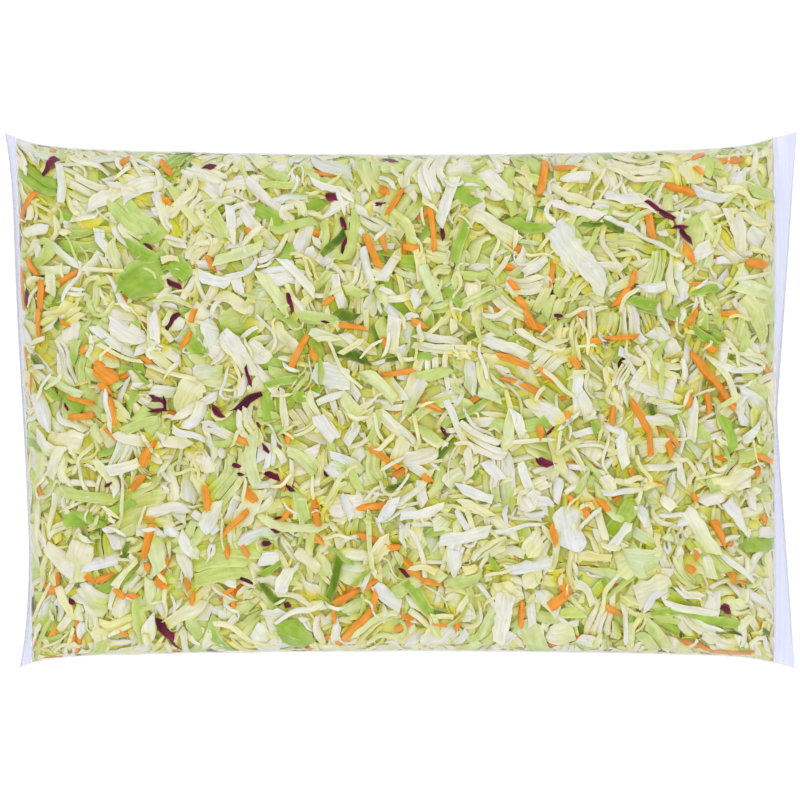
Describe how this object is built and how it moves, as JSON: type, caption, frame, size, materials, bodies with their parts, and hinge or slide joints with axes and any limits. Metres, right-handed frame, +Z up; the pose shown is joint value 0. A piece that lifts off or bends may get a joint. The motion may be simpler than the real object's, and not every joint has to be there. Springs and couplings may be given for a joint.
{
  "type": "bag of coleslaw mix",
  "caption": "Clear sealed pillow bag, flat and rectangular, packed full of shredded cabbage and carrot.",
  "frame": {"origin": "on the table under the middle of the bag", "axes": "+X from the skewed seal to the straight seal, +Y across the bag, +Z up through the side that shows"},
  "size_m": [0.4482, 0.304, 0.0576],
  "materials": {
    "filled_bag": "clear glossy film tight over pale green shreds",
    "film": "clear thin film, glossy, with a faint cool tint where two layers meet",
    "cabbage": "moist cut leaf, white to green",
    "carrot": "moist cut root",
    "red_cabbage": "moist cut leaf, dark purple with pale edges"
  },
  "bodies": {
    "root": {"bag": "filled_bag"}
  },
  "joints": []
}
